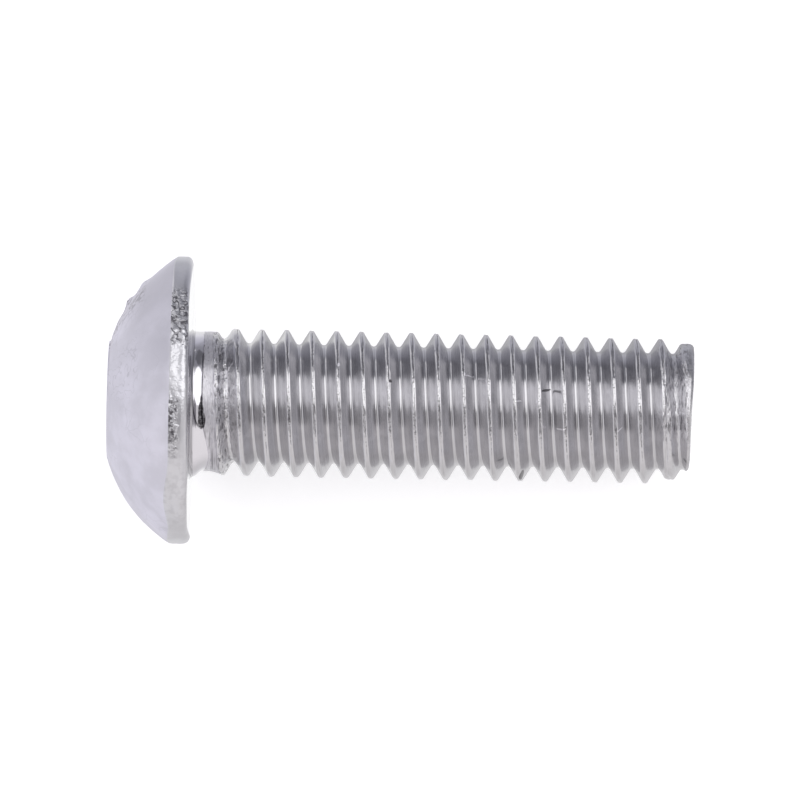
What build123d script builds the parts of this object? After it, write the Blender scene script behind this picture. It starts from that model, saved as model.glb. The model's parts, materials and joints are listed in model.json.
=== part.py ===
from build123d import *

import math
import os

# Button head screw with a hexagon socket: head, shank and rolled thread are one forged piece.
# Lengths are in millimetres and angles in degrees.
#
# The screw is made on the Z axis, with its bearing face, under the head, at Z = 0 and its tip
# up. It is then laid down along X as it comes to rest on a table, head at -X, on the rim of its
# head and on its last full thread. The line along its side that is lowest then is +X here.

# head
head_dia = 5.7
head_height = 1.65
crown_dia = 2.5  # the flat round the socket
rim_height = 0.37  # the straight band at the head's edge
dome_bulge = 0.16  # how far the dome stands out from a straight cone
rim_bevel = 0.12  # the broken edge between the rim and the bearing face

# hexagon socket
key_size = 2.0  # across the flats of the key
key_clearance = 0.03
socket_depth = 1.1
floor_angle = 150  # the floor is a shallow cone, like its drill
mouth_lead = 0.01  # the mouth's chamfer, beyond the corners of the hexagon
mouth_angle = 120

# neck, the plain stretch under the head
neck_dia = 2.77
neck_length = 0.45
neck_fillet = 0.12
collar_length = 0.1  # the cone from the neck up to the crests of the thread

# thread
screw_length = 10.0  # from the bearing face to the tip
thread_dia = 2.94
pitch = 0.5
flank_angle = 60
thread_start = 0.72  # where the groove is at its full depth, from the bearing face
thread_turn = 160  # and how far round from the lowest line that is
runout_turns = 0.7
tip_chamfer = 0.25

# The groove's section. A sharp V loses an eighth of the pitch at the crest and a sixth at the root.
flank_slope = math.tan(math.radians(flank_angle / 2))
crest_flat = pitch / 8
root_flat = pitch / 6
groove_depth = (pitch - crest_flat - root_flat) / 2 / flank_slope
cutter_margin = pitch / 25  # how far the groove's cutter stands out of the shank

head_radius = head_dia / 2
neck_radius = neck_dia / 2
crest_radius = thread_dia / 2
root_radius = crest_radius - groove_depth


def turned(section):
    """A solid turned about Z from a flat section of radius and height."""
    return revolve(Plane.XZ * section, Axis.Z)


def blank():
    """Head, neck and shank before the thread is rolled and the socket punched."""
    crown = (crown_dia / 2, -head_height)
    rim_top = (head_radius, -rim_height)
    neck_foot = (neck_radius, 0)
    crest_end = screw_length - tip_chamfer
    dome = SagittaArc(crown, rim_top, -dome_bulge)
    shank = Polyline(
        rim_top,
        (head_radius, -rim_bevel),
        (head_radius - rim_bevel, 0),
        neck_foot,
        (neck_radius, neck_length),
        (crest_radius, neck_length + collar_length),
        (crest_radius, crest_end),
        (crest_radius - tip_chamfer, screw_length),
        (0, screw_length),
        (0, -head_height),
        crown,
    )
    section = make_face(dome + shank)
    neck_corner = section.vertices().sort_by_distance(neck_foot)[0]
    return turned(fillet(neck_corner, neck_fillet))


def groove_section():
    """Section of the thread's groove, as radius and height about the groove's middle."""
    top = crest_radius + cutter_margin
    half_root = root_flat / 2
    half_top = half_root + (top - root_radius) * flank_slope
    return [(root_radius, -half_root), (top, -half_top), (top, half_top), (root_radius, half_root)]


def cutter(path, side):
    """The groove's section swept along a helix that starts at +X (side 1) or at -X (side -1)."""
    outline = Polyline(*[(side * radius, height) for radius, height in groove_section()], close=True)
    return sweep(Plane.XZ * make_face(outline), path=path, is_frenet=True)


def thread_cutters():
    """One cutter for each turn of the groove, and one that leads it out of the neck."""
    one_turn = cutter(Helix(pitch=pitch, height=pitch, radius=root_radius), 1)
    turns = math.ceil((screw_length - thread_start) / pitch) + 1
    cutters = [Pos(0, 0, turn * pitch) * one_turn for turn in range(turns)]

    runout_length = runout_turns * pitch
    rise = crest_radius + cutter_margin - root_radius
    runout = Helix(
        pitch=pitch,
        height=runout_length,
        radius=root_radius,
        direction=(0, 0, -1),
        cone_angle=math.degrees(math.atan2(rise, runout_length)),
    )
    cutters.append(Rot(0, 0, 180) * cutter(runout, -1))
    return [Pos(0, 0, thread_start) * Rot(0, 0, thread_turn) * each for each in cutters]


def socket():
    """The hexagon socket, with its conical floor and the chamfer at its mouth."""
    flats = key_size + key_clearance
    corner_radius = flats / math.sqrt(3)
    floor_depth = flats / 2 / math.tan(math.radians(floor_angle / 2))
    hexagon = extrude(RegularPolygon(flats / 2, 6, major_radius=False), socket_depth + floor_depth)
    mouth_radius = corner_radius + mouth_lead
    mouth_depth = mouth_radius / math.tan(math.radians(mouth_angle / 2))
    drill = turned(
        make_face(
            Polyline(
                (0, 0),
                (corner_radius, 0),
                (corner_radius, socket_depth),
                (flats / 2, socket_depth),
                (0, socket_depth + floor_depth),
                close=True,
            )
        )
    )
    mouth = turned(make_face(Polyline((0, 0), (mouth_radius, 0), (0, mouth_depth), close=True)))
    return Pos(0, 0, -head_height) * ((hexagon & drill) + mouth)


def last_crest():
    """How far from the bearing face the last full crest ends, on the lowest line."""
    first_groove = thread_start + (1 - thread_turn / 360) * pitch
    first_end = first_groove + (pitch + crest_flat) / 2
    crests = math.floor((screw_length - tip_chamfer - first_end) / pitch)
    return first_end + crests * pitch


def lying_slope():
    """How far the axis dips towards the tip when the head's rim and the last crest touch."""
    drop = head_radius - crest_radius
    return math.degrees(math.atan2(drop, last_crest() + rim_bevel))


def lying_pose(solid):
    """Turns the screw down onto the table, Z = 0, and centres it there along X."""
    turn = Rot(0, 90 + lying_slope(), 0)
    box = (turn * solid).bounding_box()
    return Pos(-box.center().X, 0, -box.min.Z) * turn


upright_screw = blank() - thread_cutters() - socket()
pose = lying_pose(upright_screw)
screw = pose * upright_screw
print("valid", screw.is_valid, "solids", len(screw.solids()), "volume", round(screw.volume, 3))

os.makedirs("parts", exist_ok=True)
export_step(screw, "parts/button_head_screw.step")
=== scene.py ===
"""Button head screw in bare stainless steel, lying in a plain pale studio.

The screw is one closed skin, built ring by ring along its own axis: socket, crown, dome, rim,
bearing face, neck, rolled thread and tip. Lengths are in metres and angles in radians.
"""

import json
import math

import bpy
from mathutils import Matrix, Vector, noise


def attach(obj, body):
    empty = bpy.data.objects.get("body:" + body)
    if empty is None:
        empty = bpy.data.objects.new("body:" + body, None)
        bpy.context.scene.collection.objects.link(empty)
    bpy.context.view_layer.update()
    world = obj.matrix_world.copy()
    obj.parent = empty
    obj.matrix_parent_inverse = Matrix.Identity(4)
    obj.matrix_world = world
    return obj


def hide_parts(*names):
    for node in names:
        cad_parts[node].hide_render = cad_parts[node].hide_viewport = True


bl_info = {
    "name": "Button Head Screw",
    "version": (1, 0, 0),
    "blender": (4, 5, 0),
    "location": "3D View > Sidebar > Screw",
    "description": "Builds a button head screw with its finishes and sets it in a plain studio",
    "category": "Object",
}

MM = 0.001
TURN = 2 * math.pi

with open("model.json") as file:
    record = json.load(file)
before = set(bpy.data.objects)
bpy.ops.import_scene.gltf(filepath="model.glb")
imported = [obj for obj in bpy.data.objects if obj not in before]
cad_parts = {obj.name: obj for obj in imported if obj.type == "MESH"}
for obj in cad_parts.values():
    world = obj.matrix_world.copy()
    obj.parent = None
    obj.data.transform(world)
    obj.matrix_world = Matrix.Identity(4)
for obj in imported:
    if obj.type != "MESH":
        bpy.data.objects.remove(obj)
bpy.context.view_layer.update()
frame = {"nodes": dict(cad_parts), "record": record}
CAD_NODE = "button_head_screw"

# The screw's own axes as it lies: tip along it, side level, and down towards the table.
MOUNTS = {mount["name"]: mount for mount in frame["record"]["mounts"]}
TIP_WAY = Vector(MOUNTS["thread"]["axis"]).normalized()
SIDE_WAY = Vector((0, 0, 1)).cross(TIP_WAY).normalized()
DOWN_WAY = SIDE_WAY.cross(TIP_WAY)
CROWN = Vector(MOUNTS["hexagon_socket"]["pos_m"])
HEAD_HEIGHT = (Vector(MOUNTS["bearing_face"]["pos_m"]) - CROWN).dot(TIP_WAY)
BEARING = CROWN + TIP_WAY * HEAD_HEIGHT
CAD_POINTS = [vertex.co - BEARING for vertex in frame["nodes"][CAD_NODE].data.vertices]
SCREW_LENGTH = max(point.dot(TIP_WAY) for point in CAD_POINTS)
HEAD_RADIUS = max((point - TIP_WAY * point.dot(TIP_WAY)).length for point in CAD_POINTS)
THREAD_RADIUS = MOUNTS["thread"]["dims"]["r_mm"] * MM

FINISHES = ("socket", "dome", "rim", "bearing", "neck", "thread", "tip")


# ---------------------------------------------------------------------------------------------
# Sizes and colours that a user may change
# ---------------------------------------------------------------------------------------------


def length(name, description, default):
    return bpy.props.FloatProperty(
        name=name, description=description, default=default, precision=6, unit="LENGTH"
    )


def angle(name, description, degrees):
    return bpy.props.FloatProperty(
        name=name, description=description, default=math.radians(degrees), unit="ROTATION"
    )


def number(name, description, default):
    return bpy.props.FloatProperty(name=name, description=description, default=default, precision=4)


def colour(name, description, default):
    return bpy.props.FloatVectorProperty(
        name=name, description=description, default=default, subtype="COLOR", min=0, max=1
    )


class HeadSizes(bpy.types.PropertyGroup):
    """Sizes of the head and its socket."""

    crown_radius: length("Crown radius", "The flat round the socket", 1.25 * MM)
    crown_tilt: angle("Crown tilt", "How far the crown leans from square", 1.8)
    crown_sink: length("Crown sink", "How far the crown lies under its nominal height", 0.012 * MM)
    crown_shift: length("Crown shift", "How far the crown is off centre, to the top side", 0.035 * MM)
    dome_bulge: length("Dome bulge", "How far the dome stands out from a cone", 0.18 * MM)
    rim_height: length("Rim height", "From the bearing face to the dome's edge", 0.37 * MM)
    rim_edge: length("Rim edge", "Rounding between dome and rim", 0.02 * MM)
    foot_round: length("Foot rounding", "Rounding between rim and bearing face", 0.13 * MM)
    pit_depth: length("Pit depth", "Depth of the torn patches on the rim", 0.014 * MM)
    socket_flats: length("Socket flats", "Across the flats of the hexagon", 2.03 * MM)
    socket_depth: length("Socket depth", "From the crown to the end of the flats", 1.1 * MM)
    mouth_lead: length("Mouth lead", "Chamfer round the hexagon's corners", 0.012 * MM)


class ShankSizes(bpy.types.PropertyGroup):
    """Sizes of the neck, the thread and the tip."""

    neck_radius: length("Neck radius", "The plain stretch under the head", 1.385 * MM)
    neck_length: length("Neck length", "From the bearing face to the collar", 0.45 * MM)
    neck_fillet: length("Neck fillet", "Rounding between bearing face and neck", 0.065 * MM)
    collar_length: length("Collar length", "Where the blank widens from neck to thread", 0.36 * MM)
    neck_end: length("Neck end", "Where the drawn neck meets the smeared collar", 0.245 * MM)
    neck_lean: angle("Neck lean", "How far the barrelled neck leans over at its end", 32)
    pitch: length("Pitch", "From one crest to the next", 0.498 * MM)
    thread_start: length("Thread start", "Where the groove is at full depth", 0.74 * MM)
    start_angle: angle("Start angle", "How far round that is from the lowest line", 160)
    runout: number("Run-out", "Turns over which the groove leads in", 0.7)
    thread_sway: length("Thread sway", "How far the thread runs ahead and behind in a turn", 0.04 * MM)
    flank_lean: angle("Flank lean", "Half the angle of the groove", 31)
    crest_width: length("Crest width", "The rolled crest, both lips together", 0.076 * MM)
    root_round: length("Root rounding", "Radius at the bottom of the groove", 0.07 * MM)
    seam_depth: length("Seam depth", "The fold between the crest's lips", 0.014 * MM)
    seam_width: length("Seam width", "The fold, from lip to lip", 0.028 * MM)
    seam_offset: length("Seam offset", "How far the fold lies to the tip side of the crest", 0.009 * MM)
    taper: length("Taper", "How much the crest radius falls towards the tip", 0.036 * MM)
    tip_radius: length("Tip radius", "The blank at the tip", 1.362 * MM)
    tip_chamfer: length("Tip chamfer", "Where the blank starts to narrow, from the tip", 0.6 * MM)
    tip_round: length("Tip rounding", "Rounding at the end's edge", 0.09 * MM)
    tip_skew: angle("Tip skew", "How far the cut end leans from square", 1.45)


class FinishColours(bpy.types.PropertyGroup):
    """Colours of the steel, as it reflects."""

    dome: colour("Dome", "Tumbled, matte steel", (0.72, 0.71, 0.785))
    rim: colour("Rim", "Forged edge", (0.635, 0.635, 0.665))
    neck: colour("Neck", "Drawn wire under the head", (0.73, 0.72, 0.76))
    thread: colour("Thread", "Rolled, burnished steel", (0.57, 0.565, 0.585))
    # This dark colour is also used for painted shade on the rim, the neck and the thread.
    soil_and_shade: colour("Soil", "Dark residue in folds and pits", (0.09, 0.085, 0.095))


class StudioSettings(bpy.types.PropertyGroup):
    """The camera, the lamps and the floor."""

    camera_distance: length("Camera distance", "From the screw's axis", 178 * MM)
    frame_width: length("Frame width", "What the view takes in at the screw", 16 * MM)
    aim_along: length("Aim along", "Where the camera looks, from the bearing face", 4.18 * MM)
    aim_side: length("Aim side", "And how far off the axis", 0.118 * MM)
    camera_roll: angle("Camera roll", "How far the screw dips in the view", 1.2)
    soft_box: number("Soft box", "Brightness of the soft box, where 1 is white", 1.04)
    box_distance: length("Box distance", "From the screw to the soft box", 300 * MM)
    box_side: angle("Box to the side", "Its lean from straight above, to the far side", 25.5)
    box_tip: angle("Box to the tip", "Its lean from straight above, towards the tip", 27)
    box_half_side: angle("Box half across", "Half of what it spans across the screw", 31)
    box_half_along: angle("Box half along", "Half of what it spans along the screw", 32)
    floor_colour: colour("Floor", "Plain pale floor", (0.9, 0.9, 0.91))


# ---------------------------------------------------------------------------------------------
# The skin
# ---------------------------------------------------------------------------------------------


def share(value, low, high):
    """How far value is from low to high, held between 0 and 1."""
    return min(1, max(0, (value - low) / (high - low)))


def eased(value):
    """The same part, with a soft start and end."""
    return value * value * (3 - 2 * value)


def between(low, high, part):
    """The value at a part of the way from low to high."""
    return low + (high - low) * part


def place_on_axes(radius, turn, along):
    """A place on the screw's own axes: down, side and along."""
    return Vector((radius * math.cos(turn), radius * math.sin(turn), along))


def grain(radius, turn, along, scale):
    """Smooth noise from -1 to 1 at a place on the screw; scale is the size of its lumps."""
    return noise.noise(place_on_axes(radius, turn, along) / scale)


def away_round(turn, degrees):
    """How far round the screw an angle is from a direction that is given in degrees."""
    return abs(math.remainder(turn - math.radians(degrees), TURN))


def arc_mask(turn, arcs):
    """1 inside any of the arcs round the screw, each a middle and half a width, else 0."""
    found = 0
    for middle, half in arcs:
        away = away_round(turn, middle) / math.radians(half)
        found = max(found, 1 - eased(share(away, 0.75, 1.15)))
    return found


def wander(turn, arcs):
    """The sum of smooth bumps at arcs round the screw: middle, half the width, and height."""
    total = 0
    for middle, half, reach in arcs:
        total += reach * MM * (1 - eased(share(away_round(turn, middle), 0, math.radians(half))))
    return total


class Skin:
    """Vertices and faces on the screw's own axes. Rings run from the socket to the tip."""

    def __init__(self):
        self.points = []
        self.faces = []
        self.finishes = []

    def point(self, radius, turn, along):
        """Adds a vertex, and gives its number."""
        self.points.append(place_on_axes(radius, turn, along))
        return len(self.points) - 1

    def ring(self, columns, shape):
        """A closed ring; shape gives radius and place along for an angle round the screw."""
        ring = []
        for column in range(columns):
            turn = TURN * column / columns
            radius, along = shape(turn)
            ring.append(self.point(radius, turn, along))
        return ring

    def face(self, corners, finish):
        """Adds a face, without the corners that fall together."""
        kept = list(dict.fromkeys(corners))
        if len(kept) > 2:
            self.faces.append(kept)
            self.finishes.append(FINISHES.index(finish))

    def bridge(self, low, high, finish):
        """Faces between two rings; one may have a whole number of times more columns."""
        few = min(len(low), len(high))
        low_step = len(low) // few
        high_step = len(high) // few
        for column in range(few):
            left = [low[column * low_step + i] for i in range(low_step)]
            left.append(low[(column + 1) * low_step % len(low)])
            right = [high[column * high_step + i] for i in range(high_step)]
            right.append(high[(column + 1) * high_step % len(high)])
            self.face(left + right[::-1], finish)

    def rings(self, last, columns, shapes, finish):
        """Adds rings in turn after the last one, and returns the new last one."""
        for shape in shapes:
            ring = self.ring(columns, shape)
            self.bridge(last, ring, finish)
            last = ring
        return last

    def cap(self, ring, along, finish, inward):
        """Closes a ring to a point on the axis."""
        middle = self.point(0, 0, along)
        for column, corner in enumerate(ring):
            following = ring[(column + 1) % len(ring)]
            corners = (following, corner, middle) if inward else (corner, following, middle)
            self.face(corners, finish)


# How many columns the rings have, and how many rows the dome and the rim's band have
COLUMNS = 150
RIM_COLUMNS = 3 * COLUMNS
DOME_ROWS = 26
RIM_ROWS = 12

# The cones of the socket's floor and of the chamfer at its mouth
FLOOR_SLOPE = math.tan(math.radians(15))
MOUTH_SLOPE = math.tan(math.radians(30))

# The two rings of the crown's flat, inside its edge
CROWN_RINGS = (1.192 * MM, 1.202 * MM)

# Where the thread's helical rows take over from the neck's rings
ROWS_START = 0.42 * MM

# How far the rolled lips stand over the thread's plain radius
LIP_RISE = 0.006 * MM

# How deep the middle of the cut end is dished
TIP_DISH = 0.07 * MM

# Edges sharper than this are shaded as edges
SHARP_ANGLE = math.radians(38)

# Arcs round the screw, in degrees from its lowest line: the middle, half the width and, in
# millimetres, how far the surface goes there. First the forged edge: along at its dome side,
# along at its foot, outward, and inward at its foot.
EDGE_WANDER = ((223, 20, -0.085), (256, 16, -0.03), (300, 40, 0.02), (20, 30, -0.02), (90, 22, 0.05))
FOOT_WANDER = ((135, 34, -0.03), (262, 18, 0.045), (30, 40, 0.02), (210, 16, 0.015))
RIM_SWELL = ((90, 24, 0.05), (150, 16, 0.015), (320, 25, -0.02))
RIM_LEAN = ((198, 24, 0.055),)

# Then where the corner under the head is fuller, where the neck is thicker or thinner, where
# the neck runs further along before the collar, and where the cut end's edge is pinched back.
FILLET_SWELL = ((264, 44, 0.125),)
NECK_SWELL = ((90, 85, 0.024), (265, 85, -0.002))
NECK_RUN = ((232, 46, 0.14),)
TIP_WANDER = ((190, 42, -0.022),)

# Where the forged edge is torn, and where the thread's fold is pressed nearly shut: the middle
# and half the width of each arc.
TORN_ARCS = ((158, 28), (292, 26), (35, 24))
FOLD_SHUT = ((173, 16),)

# Folded lumps and flats on the dome: across, to the side and along, reach and height.
LUMPS = (
    (-0.1, 1.52, -1.5, 0.2, 0.012),
    (-0.1, 1.95, -1.31, 0.25, 0.06),
    (-0.1, 2.32, -1.04, 0.26, 0.045),
    (0.1, -1.77, -1.39, 0.35, -0.07),
    (0.1, -2.57, -0.69, 0.4, -0.03),
)

# Crests that were knocked flat: how far round and along, the reach of both, and how deep. Here
# and in the marks on the steel, places round are in degrees and the others in millimetres.
KNOCKS = (
    (168, 9.5, 34, 0.2, 0.028),
    (178, 8.98, 14, 0.14, 0.012),
    (157, 3.98, 12, 0.16, 0.012),
    (182, 2.95, 10, 0.16, 0.012),
)

# The broken corner between bearing face and neck: how far out and along, in parts of its size.
CORNER = ((0.62, 0.28), (0.42, 0.5), (0.21, 0.72), (0.08, 0.86), (0.023, 0.96), (0, 1.08))

# Where the helical rows lie in each pitch, from one groove's middle (0) to the next (1). They
# crowd at the rounded root and at the crest, whose two rolled lips meet in a fold.
HALF_SECTION = (0, 0.04, 0.08, 0.122, 0.2, 0.29, 0.37, 0.416, 0.44, 0.464, 0.483)
SECTION = HALF_SECTION + (0.5,) + tuple(1 - phase for phase in HALF_SECTION[:0:-1])


def hexagon_radius(turn, flats):
    """Distance from the axis to the hexagon's side at an angle round it."""
    sixth = TURN / 6
    return flats / 2 / math.cos(turn % sixth - sixth / 2)


def socket_shapes(head):
    """The socket from the edge of its conical floor, up its flats, to its mouth."""
    flats = head.socket_flats
    mouth_radius = flats / math.sqrt(3) + head.mouth_lead

    def floor(part):
        def shape(turn):
            radius = hexagon_radius(turn, flats) * part
            return radius, -HEAD_HEIGHT + head.socket_depth + (1 - part) * flats / 2 * FLOOR_SLOPE

        return shape

    def wall(part):
        return lambda turn: (hexagon_radius(turn, flats), -HEAD_HEIGHT + head.socket_depth * part)

    def mouth_edge(turn):
        radius = hexagon_radius(turn, flats)
        return radius, -HEAD_HEIGHT + (mouth_radius - radius) * MOUTH_SLOPE

    def mouth(turn):
        return mouth_radius, -HEAD_HEIGHT

    floors = [floor(part) for part in (0.35, 0.7, 0.97, 1)]
    walls = [wall(part) for part in (0.85, 0.6, 0.4, 0.25)]
    return floors + walls + [mouth_edge, mouth]


def crown_lean(radius, turn, head):
    """How far the leaning crown stands down towards the tip, on the side that it leans to."""
    reach = share(radius, HEAD_RADIUS, head.crown_radius)
    lean = radius * max(0, math.sin(turn)) * math.tan(head.crown_tilt)
    return reach * (lean + head.crown_sink)


def lump(radius, turn, along):
    """How far the folded lumps stand out of the dome."""
    place = place_on_axes(radius, turn, along)
    total = 0
    for *middle, reach, height in LUMPS:
        away = (place - Vector(middle) * MM).length / (reach * MM)
        if away < 1:
            folds = 1 + 0.45 * noise.noise(place / (0.07 * MM))
            total += height * MM * (1 - eased(away)) * folds
    return total


def dome_shapes(head):
    """The crown's flat and the dome, out to the rim."""
    across = HEAD_RADIUS - head.crown_radius
    rise = HEAD_HEIGHT - head.rim_height
    slant = math.hypot(across, rise)

    def dome(part):
        bulge = 4 * head.dome_bulge * part * (1 - part)

        def shape(turn):
            radius = head.crown_radius + across * part + bulge * rise / slant
            along = -HEAD_HEIGHT + rise * part - bulge * across / slant
            uneven = 0.006 * MM * grain(radius, turn, along, 0.55 * MM)
            uneven += 0.004 * MM * grain(radius, turn, along, 0.16 * MM)
            uneven *= eased(share(part, 1.0, 0.9))
            uneven += lump(radius, turn, along)
            along += crown_lean(radius, turn, head) + wander(turn, EDGE_WANDER) * part**4
            radius += wander(turn, RIM_SWELL) * part**6
            radius += head.crown_shift * math.sin(turn) * (1 - part) ** 3
            return radius + uneven * rise / slant, along - uneven * across / slant

        return shape

    def flat(radius):
        return lambda turn: (radius, -HEAD_HEIGHT + crown_lean(radius, turn, head))

    crown = [flat(radius) for radius in CROWN_RINGS]
    return crown + [dome((row / DOME_ROWS) ** 1.05) for row in range(DOME_ROWS)]


def rim_shapes(head):
    """The rim's band and the rounding at its foot, with the torn patches of the forged edge."""
    foot = head.foot_round
    path = [(HEAD_RADIUS - head.rim_edge * 0.3, -head.rim_height - head.rim_edge * 0.25)]
    straight = head.rim_height - head.rim_edge - foot
    for row in range(RIM_ROWS + 1):
        path.append((HEAD_RADIUS, -head.rim_height + head.rim_edge + straight * row / RIM_ROWS))
    for step in range(1, 8):
        bend = TURN / 4 * step / 7
        path.append((HEAD_RADIUS - foot * (1 - math.cos(bend)), foot * (math.sin(bend) - 1)))

    def level(radius, along, fade):
        def shape(turn):
            torn = arc_mask(turn, TORN_ARCS) * fade
            pits = 0.7 * grain(radius, turn, along, 0.08 * MM)
            pits += 0.8 * grain(radius, turn, along, 0.17 * MM)
            swell = 0.006 * MM * grain(radius, turn, along, 0.7 * MM)
            swell += wander(turn, RIM_SWELL) * share(radius, HEAD_RADIUS - foot, HEAD_RADIUS)
            depth = torn * head.pit_depth * (pits - 0.35) + swell
            down = share(along, -head.rim_height, 0)
            depth -= wander(turn, RIM_LEAN) * down
            shift = between(wander(turn, EDGE_WANDER), wander(turn, FOOT_WANDER), down)
            shift += 0.022 * MM * torn * (1 - down) * grain(radius, turn, 0, 0.07 * MM)
            return radius + depth, along + shift

        return shape

    fades = [0.35] + [1] * (RIM_ROWS - 1) + [0.8, 0.5, 0.3, 0.15] + [0] * 6
    return [level(radius, along, fade) for (radius, along), fade in zip(path, fades)]


def bearing_shapes(head, shank):
    """The bearing face, from the foot of the rim to the fillet, and the fillet."""
    outer = HEAD_RADIUS - head.foot_round
    inner = shank.neck_radius + shank.neck_fillet

    def flat(part):
        def shape(turn):
            radius = between(outer, inner + wander(turn, FILLET_SWELL), part)
            fade = share(radius, inner, HEAD_RADIUS)
            return radius, wander(turn, FOOT_WANDER) * fade

        return shape

    def corner(out, along):
        def shape(turn):
            radius = shank.neck_radius + shank.neck_fillet * out + wander(turn, FILLET_SWELL)
            return radius + wander(turn, NECK_SWELL) * along, shank.neck_fillet * along

        return shape

    face = [flat(step / 8) for step in range(1, 9)]
    return face, [corner(out, along) for out, along in CORNER]


def neck_shapes(shank, low, high):
    """The drawn neck, which leans over on its open side, and the smeared collar to the thread."""
    drawn = shank.neck_end - low

    def level(along):
        def shape(turn):
            part = share(along, low, shank.neck_end)
            open_side = 1 - eased(share(abs(turn - TURN / 2), math.radians(34), math.radians(78)))
            lean = drawn * open_side * (0.5 * math.tan(shank.neck_lean) * part - 0.1) * part
            collar = share(along, shank.neck_end, shank.neck_end + 0.02 * MM)
            smear = 0.004 * MM * grain(shank.neck_radius, turn, along, 0.06 * MM)
            smear += 0.004 * MM * grain(shank.neck_radius, turn, along, 0.2 * MM)
            radius = shank.neck_radius - lean * (1 - collar) + smear * collar
            radius += wander(turn, NECK_SWELL) + wander(turn, FILLET_SWELL) * (1 - eased(part))
            return radius, along + wander(turn, NECK_RUN) * part * share(along, high, shank.neck_end)

        return shape

    levels = [between(low, shank.neck_end, step / 11) for step in range(1, 12)]
    levels += [between(shank.neck_end, high, step / 9) for step in range(1, 10)]
    return [level(along) for along in levels]


def softer_low(first, second, rounding):
    """The lower of two values, rounded where they cross."""
    near = max(rounding - abs(first - second), 0) / rounding
    return min(first, second) - near * near * rounding / 4


def full_radius(shank, along):
    """The thread's crests, which taper a little towards the tip."""
    fall = share(along, shank.thread_start, SCREW_LENGTH)
    return THREAD_RADIUS + LIP_RISE - shank.taper * fall


def flattened(turn, along):
    """How much lower the blank is where a crest was knocked flat."""
    total = 0
    for middle, level, half, reach, depth in KNOCKS:
        away = away_round(turn, middle) / math.radians(half)
        ahead = abs(along - level * MM) / (reach * MM)
        total += depth * MM * (1 - eased(share(away, 0.4, 1))) * (1 - eased(share(ahead, 0.5, 1)))
    return total


def blank_radius(shank, turn, along):
    """The turned blank that the thread is rolled on: neck, collar, body and narrowed tip."""
    along -= math.tan(shank.tip_skew) * THREAD_RADIUS * math.sin(turn)
    crest = full_radius(shank, along)
    collar = share(along, shank.neck_length, shank.neck_length + shank.collar_length)
    start = SCREW_LENGTH - shank.tip_chamfer
    narrowed = eased(share(along, start, start + 0.13 * MM))
    neck = shank.neck_radius + wander(turn, NECK_SWELL)
    body = between(neck, crest, collar)
    return between(body, shank.tip_radius, narrowed) - flattened(turn, along)


def groove_height(shank, away):
    """Height over the groove's lowest line: a rounded root and straight flanks."""
    lean = shank.flank_lean
    foot = shank.root_round * math.cos(lean)
    if away < foot:
        return shank.root_round - math.sqrt(shank.root_round**2 - away**2)
    return shank.root_round * (1 - math.sin(lean)) + (away - foot) / math.tan(lean)


def groove_level(shank, turn):
    """Where along the screw the groove's middle crosses this angle, on its first turn."""
    way_round = (turn - shank.start_angle) / TURN
    return shank.thread_start + shank.pitch * way_round + shank.thread_sway * math.cos(turn)


def fold_opening(blank, turn, along):
    """How open the fold between the crest's lips is. It closes up in places."""
    open_side = 0.15 + 0.95 * math.cos(turn - math.radians(125))
    breaks = 1.2 * grain(blank, turn, along, 0.2 * MM) + 0.6 * grain(blank, turn, along, 0.06 * MM)
    pressed_shut = 1 - 0.85 * arc_mask(turn, FOLD_SHUT)
    return max(-0.45, open_side + breaks) * pressed_shut


def torn_ends(phase, along):
    """How torn the metal is where the thread begins and ends."""
    start = 2.2 * share(along, 0.95 * MM, 0.68 * MM) * share(phase, -0.55, -0.5)
    end = 1.2 * share(along, SCREW_LENGTH - 0.85 * MM, SCREW_LENGTH - 0.45 * MM)
    return max(start, end)


def thread_place(shank, phase, turn):
    """Radius and place along of the helical line at that phase, at an angle round the screw."""
    pitch = shank.pitch
    along = groove_level(shank, turn) + pitch * phase
    groove = round(phase)
    from_root = abs(phase - groove) * pitch
    from_crest = pitch / 2 - from_root
    blank = blank_radius(shank, turn, along)
    crest = blank + 0.013 * MM * grain(blank, turn, along, 0.45 * MM)

    # the groove, as deep as its run-out lets it be here
    depth = groove_height(shank, (pitch - shank.crest_width) / 2)
    depth *= share(groove + (turn - shank.start_angle) / TURN, -shank.runout, 0)
    grooved = full_radius(shank, along) - depth + groove_height(shank, from_root)
    radius = softer_low(crest, grooved, 0.02 * MM)

    # the fold between the crest's lips, which wanders along
    half_seam = shank.seam_width / 2
    from_seam = abs((phase - 0.5 - math.floor(phase)) * pitch - shank.seam_offset)
    if from_seam < half_seam:
        fullness = share(crest - radius, 0.03 * MM, 0)
        fullness *= share(full_radius(shank, along) - blank, 0.05 * MM, 0.02 * MM)
        fold = math.cos(math.pi / 2 * from_seam / half_seam) ** 2 * shank.seam_depth
        radius -= fullness * (fold * fold_opening(blank, turn, along))
        along += 0.006 * MM * grain(blank, turn, along, 0.22 * MM) * (1 - from_seam / half_seam)

    # the burred lips, and the torn metal at both ends
    burr = share(from_crest, 0.05 * MM, 0.02 * MM)
    radius += 0.006 * MM * burr * grain(blank, turn, along, 0.04 * MM)
    radius += 0.011 * MM * torn_ends(phase, along) * grain(blank, turn, 3 * along, 0.14 * MM)
    return radius, along


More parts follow.
